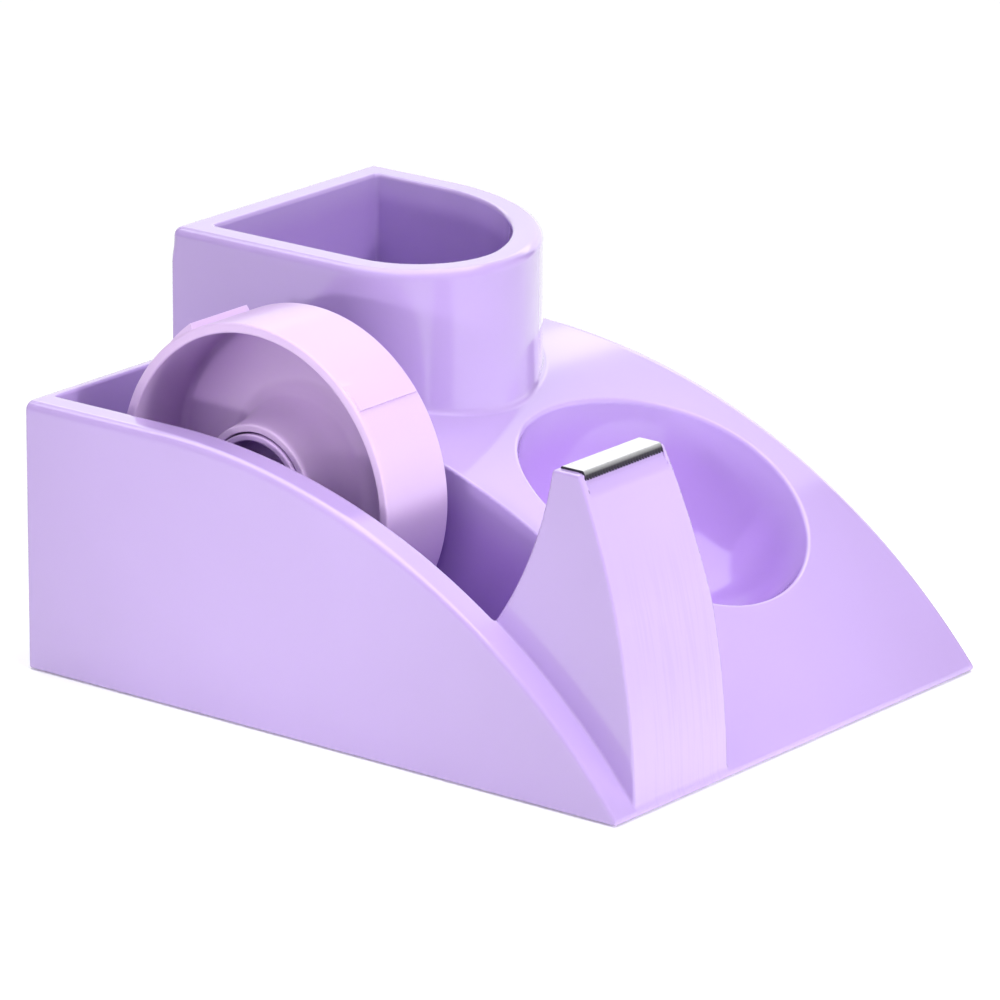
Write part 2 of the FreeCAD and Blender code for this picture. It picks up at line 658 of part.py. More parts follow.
profile(sk, [("blade_left - 0.0001", tip_y + " - 0.3"), ("blade_left + %s" % pitch, tip_y + " - 0.3"),
             ("blade_left + %s" % pitch, tip_y + " + 0.02"),
             ("blade_left + %s / 2" % pitch, tip_y + " + tooth_depth * %s" % LIP_COS),
             ("blade_left - 0.0001", tip_y + " + 0.02")])
gap = pocket(blade, sk, "6", "tooth_gap_cut")
pat = blade.newObject("PartDesign::LinearPattern", "tooth_row")
pat.Originals = [gap]
pat.Direction = (sk, ["H_Axis"])
pat.Length = val("(blade_right - blade_left) * %d / %d" % (TEETH - 1, TEETH))
pat.setExpression("Length", E("( blade_right - blade_left ) * %d / %d" % (TEETH - 1, TEETH)))
pat.Occurrences = TEETH
blade.Tip = pat
doc.recompute()

# ------------------------------------------------------------------ tape reel
# The wheel, spindle and axle are drawn about their own centre line, the X axis.
wheel = new_body("large_core_wheel")
sk = sketch(wheel, "wheel_section", "XZ_Plane", "0")
x0, x1 = "reel_left", "(reel_left + reel_width)"
web1 = "(reel_left + reel_width - 0.4)"
web0 = "(reel_left + reel_width - 0.4 - reel_web)"
hub0 = "(reel_left + reel_hub_inset)"
profile(sk, [(hub0, "reel_hub_bore"), (web1, "reel_hub_bore"), (web1, "reel_inner_radius - 0.4"),
             (x1, "reel_inner_radius"), (x1, "reel_radius - 0.4"), (x1 + " - 0.4", "reel_radius"),
             (x0 + " + 0.4", "reel_radius"), (x0, "reel_radius - 0.4"), (x0, "reel_inner_radius + 0.2"),
             (x0 + " + 0.3", "reel_inner_radius"), (web0 + " - 1.5", "reel_inner_radius"),
             (web0 + " - 0.44", "reel_inner_radius - 0.44"), (web0, "reel_inner_radius - 1.5"),
             (web0, "reel_hub_root + 2.0"), (web0 + " - 0.6", "reel_hub_root + 0.6"),
             (web0 + " - 2.0", "reel_hub_root"), (web0 + " - 8.5", "reel_hub_radius + 1.0"),
             (hub0 + " + 0.5", "reel_hub_radius"), (hub0, "reel_hub_radius - 0.4")])
rev = wheel.newObject("PartDesign::Revolution", "wheel_turning")
rev.Profile = sk
rev.ReferenceAxis = (sk, ["H_Axis"])
rev.Angle = 360.0
wheel.Tip = rev
doc.recompute()
# grip ramps: each rises from the rim to a small step that holds the core


def polar(r, a):
    return ("%s * %.6f" % (r, math.sin(a)), "%s * %.6f" % (r, math.cos(a)))


def ramp_radius(name, turn):
    """radius of a ramp's shifted circle, turn radians from the shift"""
    return "(%s * %.6f + sqrt(reel_radius ^ 2 + %s ^ 2 - (%s * %.6f) ^ 2))" % (
        name, math.cos(turn), name, name, math.sin(turn))


RAMPS = ((27.5, "ramp_shift"), (-51.0, "low_ramp_shift"))
ramp_pads = []
for i, (step, by) in enumerate(RAMPS):
    high, low, shift = [math.radians(step + a) for a in (0.0, 18.0, -77.0)]
    ramp = sketch(wheel, "grip_ramp_%d" % i, "YZ_Plane", "reel_left + ramp_inset")
    ccx, ccy = polar(by, shift)
    profile(ramp, [polar("(reel_radius - 1.2)", high), polar(ramp_radius(by, high - shift), high),
                   polar(ramp_radius(by, low - shift), low), polar("(reel_radius - 1.2)", low)],
            {1: (ccx, ccy, "sqrt(reel_radius ^ 2 + %s ^ 2)" % by, False)})
    ramp_pads.append(pad(wheel, ramp, "reel_width - 2 * ramp_inset", "grip_ramp_pad_%d" % i))
pat = wheel.newObject("PartDesign::PolarPattern", "grip_ramp_ring")
pat.Originals = ramp_pads
pat.Axis = ([f for f in wheel.Origin.OriginFeatures if f.Role == "X_Axis"][0], [""])
pat.Angle = 360.0
pat.Occurrences = 2
wheel.Tip = pat
doc.recompute()

spindle = new_body("small_core_spindle")
sk = sketch(spindle, "spindle_section", "XZ_Plane", "0")
sa, sb = "(reel_left + 0.6)", "(reel_left + reel_width + 0.6)"
mid_x = "(reel_left + reel_width / 2)"
ha, hb = "(well_left + bracket_thick + 0.5)", "(well_right - bracket_thick - 0.5)"
bore = "(axle_radius + axle_fit)"
profile(sk, [(ha, bore), (hb, bore), (hb, "spindle_hub - 0.4"), (hb + " - 0.4", "spindle_hub"),
             (mid_x + " + spindle_web / 2", "spindle_hub"), (mid_x + " + spindle_web / 2", "spindle_bore"),
             (sb, "spindle_bore"), (sb, "spindle_radius + 1.5"),
             (sb + " - 1.0", "spindle_radius + 1.5"), (sb + " - 1.0", "spindle_radius"),
             (sa + " + 0.4", "spindle_radius"), (sa, "spindle_radius - 0.4"), (sa, "spindle_bore"),
             (mid_x + " - spindle_web / 2", "spindle_bore"), (mid_x + " - spindle_web / 2", "spindle_hub"),
             (ha + " + 0.4", "spindle_hub"), (ha, "spindle_hub - 0.4")])
rev = spindle.newObject("PartDesign::Revolution", "spindle_turning")
rev.Profile = sk
rev.ReferenceAxis = (sk, ["H_Axis"])
rev.Angle = 360.0
spindle.Tip = rev
doc.recompute()
sk = sketch(spindle, "grip_rib", "YZ_Plane", "reel_left + reel_hub_inset + 0.6")
rect(sk, "0 - spindle_grip / 2", "0 - reel_hub_bore + 0.0243", "spindle_grip / 2", "0 - spindle_radius + 0.5")
rib = pad(spindle, sk, "reel_width - reel_hub_inset - 2.0", "grip_rib_pad")
pat = spindle.newObject("PartDesign::PolarPattern", "grip_rib_ring")
pat.Originals = [rib]
pat.Axis = ([f for f in spindle.Origin.OriginFeatures if f.Role == "X_Axis"][0], [""])
pat.Angle = 360.0
pat.Occurrences = 3
spindle.Tip = pat
doc.recompute()

axle = new_body("axle_pin")
sk = sketch(axle, "axle_section", "XZ_Plane", "0")
aa, ab = "(well_left + axle_end_gap)", "(well_right - axle_end_gap)"
profile(sk, [(aa, "0"), (ab, "0"), (ab, "axle_radius - 0.4"), (ab + " - 0.4", "axle_radius"),
             (aa + " + 0.4", "axle_radius"), (aa, "axle_radius - 0.4")])
rev = axle.newObject("PartDesign::Revolution", "axle_turning")
rev.Profile = sk
rev.ReferenceAxis = (sk, ["H_Axis"])
rev.Angle = 360.0
axle.Tip = rev
doc.recompute()
for label, offset in (("left", "well_left + axle_end_gap - 1"),
                      ("right", "well_right - bracket_thick - 0.25")):
    sk = sketch(axle, "axle_flats_" + label, "YZ_Plane", offset)
    rect(sk, "axle_flat / 2", "0 - axle_radius - 1", "axle_radius + 1", "axle_radius + 1")
    rect(sk, "0 - axle_radius - 1", "0 - axle_radius - 1", "0 - axle_flat / 2", "axle_radius + 1")
    depth = "bracket_thick - axle_end_gap + 1.25" if label == "left" else "bracket_thick + 1"
    pocket(axle, sk, depth, "axle_flats_cut_" + label)

# ------------------------------------------------------- placement and export
ORIGIN = ("0 - body_width / 2", "0 - body_length / 2", "0")
CENTRE = ("0 - body_width / 2", "reel_cy - body_length / 2", "reel_cz")
SUBPARTS = [(body_shell, ORIGIN), (cover, ORIGIN), (base_screws, ORIGIN), (ballast_screws, ORIGIN),
            (blade, ORIGIN), (wheel, CENTRE), (spindle, CENTRE), (axle, CENTRE)]
SUBPARTS += [(b, ORIGIN) for b in plates + feet]
for obj, (ex, ey, ez) in SUBPARTS:
    obj.Placement = FreeCAD.Placement(V(val(ex), val(ey), val(ez)), FreeCAD.Rotation())
    for ax, ex_ in (("x", ex), ("y", ey), ("z", ez)):
        if driven(ex_):
            obj.setExpression(".Placement.Base." + ax, E(ex_))
doc.recompute()

for obj in doc.Objects:
    if "Invalid" in obj.State or "Error" in obj.State:
        raise RuntimeError("%s failed: %s" % (obj.Label, obj.State))
for obj, _ in SUBPARTS:
    shape = obj.Shape
    if shape.isNull() or not shape.isValid():
        raise RuntimeError("%s has no valid shape" % obj.Label)
for obj, _ in SUBPARTS:
    obj.Shape.exportStep("parts/%s.step" % obj.Label)
    b = obj.Shape.BoundBox
    print("%-22s solids %d  volume %.0f  x %.2f..%.2f  y %.2f..%.2f  z %.2f..%.2f" % (
        obj.Label, len(obj.Shape.Solids), obj.Shape.Volume, b.XMin, b.XMax, b.YMin, b.YMax, b.ZMin, b.ZMax))
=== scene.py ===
import bpy, math
import numpy as np
from mathutils import Vector, Matrix


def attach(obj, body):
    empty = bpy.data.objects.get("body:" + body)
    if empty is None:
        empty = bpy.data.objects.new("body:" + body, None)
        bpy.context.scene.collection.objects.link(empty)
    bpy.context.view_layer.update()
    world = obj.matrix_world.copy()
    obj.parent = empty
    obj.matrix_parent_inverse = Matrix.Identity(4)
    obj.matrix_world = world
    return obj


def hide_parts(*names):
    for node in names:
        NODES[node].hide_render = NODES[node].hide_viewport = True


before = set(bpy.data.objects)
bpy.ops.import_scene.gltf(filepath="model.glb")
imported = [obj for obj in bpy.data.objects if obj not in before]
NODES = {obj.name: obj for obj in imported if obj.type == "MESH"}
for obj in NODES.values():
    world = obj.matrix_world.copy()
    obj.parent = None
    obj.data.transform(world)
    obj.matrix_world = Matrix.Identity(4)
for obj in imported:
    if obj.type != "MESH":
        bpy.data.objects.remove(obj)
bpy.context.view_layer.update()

# All sizes below are millimetres in the drawing frame: X across the front from
# the left side face, Y from the front edge to the back, Z up. The row frame's
# origin is under the middle of the body.
SHIFT = np.array([65.0, 81.35, 0.0])


# ------------------------------------------------------------------ form tools
def imax(a, b, r):
    """where two solids meet, with the edge rounded to radius r"""
    u, v = np.maximum(a + r, 0.0), np.maximum(b + r, 0.0)
    return np.minimum(-r, np.maximum(a, b)) + np.sqrt(u * u + v * v)


def cove(a, b, r):
    """two solids joined, with a cove of radius r in the corner"""
    u, v = np.maximum(r - a, 0.0), np.maximum(r - b, 0.0)
    return np.maximum(r, np.minimum(a, b)) - np.sqrt(u * u + v * v)


def smooth(t):
    t = np.clip(t, 0.0, 1.0)
    return t * t * (3.0 - 2.0 * t)


RISE = 60.1
ARCH_R = (125.5 ** 2 + RISE ** 2) / (2 * RISE)
ARCH_CZ = 61.5 - ARCH_R
TURN = math.atan2(125.5, 1.4 - ARCH_CZ)
C1 = (75.0, 113.3)
R1, R2 = 18.9, 45.8
C2 = (67.3, 113.3 + math.sqrt((R2 - R1) ** 2 - (67.3 - 75.0) ** 2))


def d_form(x, y, grow):
    """plan of the pen cup: two straight sides and two arcs that meet smoothly"""
    dr = R2 - R1
    a = C1[0] - x
    b = np.where(y < C2[1], np.hypot(x - C2[0], y - C2[1]), np.abs(x - C2[0])) - dr
    k = np.maximum(a, b)
    ex, ey = (C1[0] - C2[0]) / dr, (C1[1] - C2[1]) / dr
    corner = (y <= C1[1]) & ((x - C1[0]) * ey - (y - C1[1]) * ex >= 0)
    k = np.where(corner, np.hypot(x - C1[0], y - C1[1]), k)
    return k - R1 - grow


def hull_form(p):
    """the sloped block with the pen cup on it, before anything is sunk into it"""
    x, y, z = p[:, 0], p[:, 1], p[:, 2]
    t = np.clip(np.arctan2(125.5 - y, z - ARCH_CZ) / TURN, 0.0, 1.0)
    arch = np.where(y < 125.5, np.hypot(y - 125.5, z - ARCH_CZ) - ARCH_R, z - 61.5)
    f = imax(arch, x - 130.0, 7.6 - 7.0 * t)
    f = imax(f, -x, 2.2 - 1.5 * t)
    cup = imax(d_form(x, y, 7.0), z - 90.5, 2.2)
    f = cove(f, cup, 1.2)
    return imax(f, y - 162.7, 0.7 + 1.3 * smooth((z - 82.0) / 6.0))


def body_form(p, closed=True):
    """signed distance to the one-piece moulding, negative inside"""
    x, y, z = p[:, 0], p[:, 1], p[:, 2]
    f = hull_form(p)
    # tape well
    front = np.where(y < 109.5, np.hypot(y - 109.5, z - 86.0), np.abs(z - 86.0)) - 87.64
    w = imax(front, 5.6 - z, 1.0)
    w = imax(w, 7.3 - x, 0.8)
    w = imax(w, x - 39.8, 0.8)
    w = imax(w, y - 160.3, 0.8)
    f = imax(f, -w, 0.6)
    # cutter post
    pf = np.hypot(y - 181.2, z + 1.4) - 180.6
    pb = 87.64 - np.hypot(y - 109.5, z - 86.0)
    side = np.maximum(x - 39.8, (x - 39.8 + 0.0954 * (z - 38.0)) / 1.00454)
    post = imax(pf, z - 71.6, 0.4)
    post = imax(post, pb, 0.6)
    post = imax(post, 7.3 - x, 0.55)
    post = imax(post, side, 0.55)
    post = np.maximum(post, y - 60.0)
    f = cove(f, post, 0.45 * np.clip(np.abs(pb) / 2.0, 0.0, 1.0))
    # relief under the blade's lip
    lip = (17.1 - y) * 0.8258 + (z - 71.5) * 0.5640
    relief = np.maximum(np.maximum(-lip, 65.5 - z), np.abs(x - 22.4) - 13.25)
    f = imax(f, -relief, 0.15)
    # clip dish and pen cup
    ball = np.sqrt((x - 84.2) ** 2 + (y - 48.7) ** 2 + (z - 46.8) ** 2) - 34.7
    f = imax(f, -ball, 0.9)
    pocket = imax(d_form(x, y, 0.0), y - 156.0, 0.8)
    pocket = imax(pocket, 14.0 - z, 4.0)
    f = imax(f, -pocket, 0.9)
    # open-topped axle brackets on both walls of the well
    v = np.abs(y - 109.1)
    b = imax((v - 8.0 - (55.0 - z) * 0.0794) / 1.0031, z - 55.0, 1.0)
    slot = np.maximum(v - 2.4 - 1.2 * smooth((z - 53.0) / 3.0), 44.98 - z)
    b = imax(b, -slot, 0.3)
    b = imax(b, np.minimum(np.maximum(6.6 - x, x - 10.1), np.maximum(37.0 - x, x - 40.5)), 0.35)
    b = np.maximum(b, 5.0 - z)
    f = cove(f, b, 0.4)
    if closed:
        f = imax(f, -y, 0.3)
        f = imax(f, 0.3 - z, 0.4)
    return f


def cavity_form(p):
    """the space inside the moulding, whose wall is 2.4 mm thick"""
    return np.maximum(body_form(p, closed=False) + 2.4, -1.6 - p[:, 2])


def slope(f, p, e=0.015):
    g = np.empty_like(p)
    for i in range(3):
        q = p.copy()
        q[:, i] += e
        a = f(q)
        q[:, i] -= 2 * e
        g[:, i] = (a - f(q)) / (2 * e)
    return g


def settle(f, p, most, rounds=2):
    """moves points onto the surface f = 0, along its slope"""
    for _ in range(rounds):
        g = slope(f, p)
        s = f(p) / np.maximum((g * g).sum(1), 0.05)
        p = p - np.clip(s, -most, most)[:, None] * g
    return p


def net(f, low, high, h, block=8):
    """quads over the surface f = 0, on a grid of pitch h worked out only near it"""
    low, high = np.array(low, float), np.array(high, float)
    nb = np.ceil((high - low) / (h * block)).astype(int)
    n = nb * block
    mid = [low[i] + (np.arange(nb[i]) + 0.5) * block * h for i in range(3)]
    c = np.stack(np.meshgrid(*mid, indexing="ij"), -1).reshape(-1, 3)
    d = f(c).reshape(nb)
    val = np.full(n + 1, 1e3, np.float32)
    sign = np.where(d < 0, -1e3, 1e3).astype(np.float32)
    val[:-1, :-1, :-1] = sign.repeat(block, 0).repeat(block, 1).repeat(block, 2)
    near = np.argwhere(np.abs(d) < block * h * 0.95)
    k = np.stack(np.meshgrid(*[np.arange(block + 1)] * 3, indexing="ij"), -1).reshape(-1, 3)
    for at in range(0, len(near), 400):
        idx = (near[at:at + 400, None, :] * block + k[None]).reshape(-1, 3)
        val[idx[:, 0], idx[:, 1], idx[:, 2]] = f(low + idx * h)
    ins = val < 0
    corner = [(i, j, m) for i in (0, 1) for j in (0, 1) for m in (0, 1)]
    some = np.zeros(n, bool)
    every = np.ones(n, bool)
    for i, j, m in corner:
        part = ins[i:n[0] + i, j:n[1] + j, m:n[2] + m]
        some |= part
        every &= part
    cells = np.argwhere(some & ~every)
    ids = np.full(n, -1, np.int32)
    ids[cells[:, 0], cells[:, 1], cells[:, 2]] = np.arange(len(cells))
    total, count = np.zeros((len(cells), 3)), np.zeros(len(cells))
    for ca in corner:
        for axis in range(3):
            if ca[axis]:
                continue
            cb = list(ca)
            cb[axis] = 1
            a = val[cells[:, 0] + ca[0], cells[:, 1] + ca[1], cells[:, 2] + ca[2]]
            b = val[cells[:, 0] + cb[0], cells[:, 1] + cb[1], cells[:, 2] + cb[2]]
            cut = (a < 0) != (b < 0)
            t = np.where(cut, a / np.where(cut, a - b, 1.0), 0.0)
            q = np.array(ca)[None] + t[:, None] * (np.array(cb) - np.array(ca))[None]
            total[cut] += q[cut]
            count[cut] += 1
    verts = low + (cells + total / count[:, None]) * h
    quads = []
    for axis in range(3):
        o = [np.s_[:]] * 3
        a_, b_ = list(o), list(o)
        a_[axis], b_[axis] = np.s_[:-1], np.s_[1:]
        sa, sb = ins[tuple(a_)], ins[tuple(b_)]
        e = np.argwhere(sa != sb)
        u, v = (axis + 1) % 3, (axis + 2) % 3
        ok = (e[:, u] > 0) & (e[:, v] > 0) & (e[:, u] < n[u]) & (e[:, v] < n[v])
        e = e[ok]
        first = sa[e[:, 0], e[:, 1], e[:, 2]]
        ring = []
        for du, dv in ((1, 1), (0, 1), (0, 0), (1, 0)):
            w = e.copy()
            w[:, u] -= du
            w[:, v] -= dv
            ring.append(ids[w[:, 0], w[:, 1], w[:, 2]])
        q = np.stack(ring, 1)
        q[~first] = q[~first][:, ::-1]
        quads.append(q)
    quads = np.concatenate(quads)
    return verts, quads[(quads >= 0).all(1)]


def new_mesh(name, verts, faces):
    """object from arrays, verts in drawing-frame millimetres, faces of equal size"""
    m = bpy.data.meshes.new(name)
    v = (np.asarray(verts, float) - SHIFT) * 0.001
    faces = np.asarray(faces, np.int32)
    k = faces.shape[1]
    m.vertices.add(len(v))
    m.vertices.foreach_set("co", v.astype(np.float32).ravel())
    m.loops.add(faces.size)
    m.loops.foreach_set("vertex_index", faces.ravel())
    m.polygons.add(len(faces))
    m.polygons.foreach_set("loop_start", np.arange(0, faces.size, k, dtype=np.int32))
    m.update(calc_edges=True)
    m.validate()
    o = bpy.data.objects.new(name, m)
    bpy.context.scene.collection.objects.link(o)
    return o


def coords(m):
    v = np.empty(len(m.vertices) * 3, np.float32)
    m.vertices.foreach_get("co", v)
    return v.reshape(-1, 3).astype(float) * 1000.0 + SHIFT


def set_coords(m, p):
    m.vertices.foreach_set("co", ((p - SHIFT) * 0.001).astype(np.float32).ravel())
    m.update()


def applied(o, kind, **settings):
    """adds a modifier and keeps its result as the object's mesh"""
    mod = o.modifiers.new(kind.title(), kind)
    for k, v in settings.items():
        setattr(mod, k, v)
    dg = bpy.context.evaluated_depsgraph_get()
    dg.update()
    m = bpy.data.meshes.new_from_object(o.evaluated_get(dg), depsgraph=dg)
    o.modifiers.clear()
    old = o.data
    o.data = m
    m.name = old.name
    bpy.data.meshes.remove(old)
    return o


def cube(name, low, high):
    c = np.array([(x, y, z) for x in (low[0], high[0]) for y in (low[1], high[1]) for z in (low[2], high[2])])
    q = [(0, 1, 3, 2), (4, 6, 7, 5), (0, 4, 5, 1), (2, 3, 7, 6), (0, 2, 6, 4), (1, 5, 7, 3)]
    return new_mesh(name, c, q)


def shade(o, forms):
    """exact normals: each face corner takes the slope of the form its face lies on"""
    m = o.data
    m.polygons.foreach_set("use_smooth", np.ones(len(m.polygons), bool))
    p = coords(m)
    nl = len(m.loops)
    lv = np.empty(nl, np.int32)
    m.loops.foreach_get("vertex_index", lv)
    start = np.empty(len(m.polygons), np.int32)
    size = np.empty(len(m.polygons), np.int32)
    flat = np.empty(len(m.polygons) * 3, np.float32)
    mid = np.empty(len(m.polygons) * 3, np.float32)
    m.polygons.foreach_get("loop_start", start)
    m.polygons.foreach_get("loop_total", size)
    m.polygons.foreach_get("normal", flat)
    m.polygons.foreach_get("center", mid)
    flat, mid = flat.reshape(-1, 3), mid.reshape(-1, 3).astype(float) * 1000.0 + SHIFT
    face = np.repeat(np.arange(len(size)), size)
    out = flat[face].astype(float)
    taken = np.zeros(len(size), bool)
    for f, gap, way in forms:
        on = ~taken & (np.abs(f(mid)) < gap)
        taken |= on
        used = np.unique(lv[on[face]])
        g = np.zeros_like(p)
        g[used] = slope(f, p[used])
        g /= np.maximum(np.linalg.norm(g, axis=1), 1e-9)[:, None]
        pick = on[face]
        cand = g[lv[pick]] * way
        good = (cand * flat[face][pick]).sum(1) > 0.35
        res = out[pick]
        res[good] = cand[good]
        out[pick] = res
    m.normals_split_custom_set([tuple(v) for v in out.tolist()])
    return o


# ------------------------------------------------------------- moulded body
PITCH = 0.6
verts, quads = net(body_form, (-1.9, -1.9, -1.4), (132.0, 164.8, 92.6), PITCH)
verts = settle(body_form, verts, PITCH * 0.6)
body = new_mesh("moulded_body", verts, quads)
applied(body, "DECIMATE", ratio=min(1.0, 150000.0 / (2.0 * len(quads))))
p = coords(body.data)
set_coords(body.data, settle(body_form, p, 0.15, 1))
# fine enough for the 2.2 mm wide hollow in the cup's wall, then thinned out
cv, cq = net(cavity_form, (0.0, 0.0, -3.5), (131.0, 163.0, 90.0), 0.9)
cv = settle(cavity_form, cv, 0.4)
cavity = new_mesh("cavity", cv, cq)
applied(cavity, "DECIMATE", ratio=min(1.0, 40000.0 / (2.0 * len(cq))))
seat = cube("seat", (9.12, 13.4, 71.5), (35.68, 22.25, 73.5))
slot_cut = cube("slot_cut", (9.12, 21.55, 66.8), (35.68, 22.25, 72.5))
for tool in (cavity, seat, slot_cut):
    applied(body, "BOOLEAN", operation="DIFFERENCE", solver="MANIFOLD", object=tool)
    bpy.data.objects.remove(tool)
shade(body, [(body_form, 0.12, 1.0), (cavity_form, 0.5, -1.0)])


def set_shade_depth(o, value):
    """how far in a point lies, 0 outside to 1, for the material's painted shade to read"""
    a = o.data.attributes.new("depth", "FLOAT", "POINT")
    a.data.foreach_set("value", value.astype(np.float32))


# painted shade mask: deeper inside the well, the cup and the dish
set_shade_depth(body, smooth(-hull_form(coords(body.data)) / 12.0))
print("body faces", len(body.data.polygons))


# --------------------------------------------------------------- turned parts
AXIS_Y, AXIS_Z = 109.1, 48.0


def rounded_loop(points, step=9.0):
    """closed outline of (x, r, radius) corners, each turned on its own radius"""
    out = []
    n = len(points)
    for i in range(n):
        p = np.array(points[i][:2], float)
        a, b = np.array(points[i - 1][:2], float), np.array(points[(i + 1) % n][:2], float)
        rad = points[i][2]
        u, v = a - p, b - p
        lu, lv = np.linalg.norm(u), np.linalg.norm(v)
        u, v = u / lu, v / lv
        ang = math.acos(max(-1.0, min(1.0, float(u @ v))))
        if rad <= 0 or ang > math.radians(179.5):
            out.append(tuple(p))
            continue
        cut = min(rad / math.tan(ang / 2), 0.49 * lu, 0.49 * lv)
        r = cut * math.tan(ang / 2)
        c = p + (u + v) / np.linalg.norm(u + v) * (r / math.sin(ang / 2))
        s, e = p + u * cut - c, p + v * cut - c
        a0 = math.atan2(s[1], s[0])
        d = (math.atan2(e[1], e[0]) - a0 + math.pi) % (2 * math.pi) - math.pi
        k = max(2, int(abs(math.degrees(d)) / step))
        out += [(c[0] + r * math.cos(a0 + d * j / k), c[1] + r * math.sin(a0 + d * j / k)) for j in range(k + 1)]
    return out


def turned(name, loop, angles, raise_by=None):
    """closed outline turned about the reel's axis; angles from +Z towards +Y.
    raise_by(x, r, angle) lifts single points, for ramps and ribs"""
    loop, angles = np.array(loop), np.asarray(angles)
    x, r = np.repeat(loop[None, :, 0], len(angles), 0), np.repeat(loop[None, :, 1], len(angles), 0)
    a = np.repeat(angles[:, None], len(loop), 1)
    if raise_by is not None:
        r = r + raise_by(x, r, a)
    verts = np.stack([x, AXIS_Y + r * np.sin(a), AXIS_Z + r * np.cos(a)], -1).reshape(-1, 3)
    m, k = len(angles), len(loop)
    i, j = np.meshgrid(np.arange(m), np.arange(k), indexing="ij")
    i, j = i.ravel(), j.ravel()
    i2, j2 = (i + 1) % m, (j + 1) % k
    quads = np.stack([i * k + j, i * k + j2, i2 * k + j2, i2 * k + j], 1)
    area = 0.5 * np.sum(loop[:, 0] * np.roll(loop[:, 1], -1) - np.roll(loop[:, 0], -1) * loop[:, 1])
    if area < 0:
        quads = quads[:, ::-1]
    o = new_mesh(name, verts, quads)
    o.data.polygons.foreach_set("use_smooth", np.ones(len(o.data.polygons), bool))
    o.data.set_sharp_from_angle(angle=math.radians(38))
    return o


def wound(steps, n, near=0.004):
    """n even angles, with close pairs where the rim steps"""
    a = list(np.linspace(0, 2 * math.pi, n, endpoint=False))
    for s in steps:
        s = s % (2 * math.pi)
        a = [v for v in a if abs((v - s + math.pi) % (2 * math.pi) - math.pi) > 1.8 * near]
        a += [(s - near) % (2 * math.pi), (s - 0.35 * near) % (2 * math.pi), (s + 0.35 * near) % (2 * math.pi),
              (s + near) % (2 * math.pi), (s + 2.2 * near) % (2 * math.pi)]
    return np.array(sorted(a))


def dense(loop, x_list, r_at):
    """adds points at the given x on the outline's run at radius r_at"""
    out = []
    n = len(loop)
    for i in range(n):
        p, q = loop[i], loop[(i + 1) % n]
        out.append(p)
        if abs(p[1] - r_at) < 1e-6 and abs(q[1] - r_at) < 1e-6:
            lo, hi = sorted((p[0], q[0]))
            xs = [x for x in x_list if lo + 1e-6 < x < hi - 1e-6]
            xs.sort(reverse=p[0] > q[0])
            out += [(x, r_at) for x in xs]
    return out


RAMPS = [(math.radians(a), by) for a, by in ((27.5, 6.2), (-51.0, 2.2), (207.5, 6.2), (129.0, 2.2))]
STEPS = [a for a, _ in RAMPS]
RIM = 37.5


def ramps(x, r, a):
    up = np.zeros_like(r)
    for s, by in RAMPS:
        t = (a - s + math.pi) % (2 * math.pi) - math.pi
        turn = t + math.radians(77.0)
        lift = by * np.cos(turn) + np.sqrt(RIM ** 2 + by ** 2 - (by * np.sin(turn)) ** 2) - RIM
        on = (t > -0.0002) & (t < math.radians(14.0))
        up = np.maximum(up, np.where(on, np.maximum(lift, 0.0), 0.0))
    rim = (r > RIM - 0.01) & (x > 13.98) & (x < 33.12)
    return np.where(rim, up, 0.0)


wheel_loop = rounded_loop([
    (14.4, 13.2, 0.3), (33.5, 13.2, 0.2), (33.5, 34.6, 0.3), (33.9, 35.0, 0.25), (33.9, RIM, 0.55),
    (13.2, RIM, 0.55), (13.2, 35.2, 0.5), (31.3, 35.2, 1.6), (31.3, 20.6, 3.0), (28.6, 17.9, 3.0),
    (23.0, 15.8, 22.0), (14.4, 14.8, 0.45)], 7.5)
wheel_loop = dense(wheel_loop, [13.97, 14.1, 18.0, 23.5, 29.0, 33.0, 33.13], RIM)
wheel = turned("tape_wheel", wheel_loop, wound(STEPS, 320), ramps)

# painted shade mask: the inner face of the reel's rim darkens deeper into its recess
at = coords(wheel.data)
ring = np.hypot(at[:, 1] - AXIS_Y, at[:, 2] - AXIS_Z)
set_shade_depth(wheel, np.where((ring < 35.3) & (ring > 33.4), smooth((at[:, 0] - 13.4) / 9.0), 0.0))

RIBS = [math.radians(a) for a in (180.0, 60.0, -60.0)]


def ribs(x, r, a):
    on = np.zeros_like(r, bool)
    for s in RIBS:
        t = np.abs((a - s + math.pi) % (2 * math.pi) - math.pi)
        on |= t < 0.0615
    on &= (r > 12.79) & (r < 12.81) & (x > 15.05) & (x < 33.0)
    return np.where(on, 0.38, 0.0)


spindle_loop = rounded_loop([
    (10.6, 3.06, 0.0), (36.5, 3.06, 0.0), (36.5, 5.5, 0.45), (24.55, 5.5, 0.7), (24.55, 11.4, 0.7),
    (34.5, 11.4, 0.3), (34.5, 14.3, 0.4), (33.5, 14.3, 0.2), (33.5, 12.8, 0.0), (13.8, 12.8, 0.4),
    (13.8, 11.4, 0.35), (22.55, 11.4, 0.7), (22.55, 5.5, 0.7), (10.6, 5.5, 0.45)])
spindle_loop = dense(spindle_loop, [15.0, 15.15, 24.0, 32.9, 33.05], 12.8)
spindle = turned("core_spindle", spindle_loop,
                 wound([RIBS[i] + s for i in range(3) for s in (-0.0615, 0.0615)], 128, 0.003), ribs)


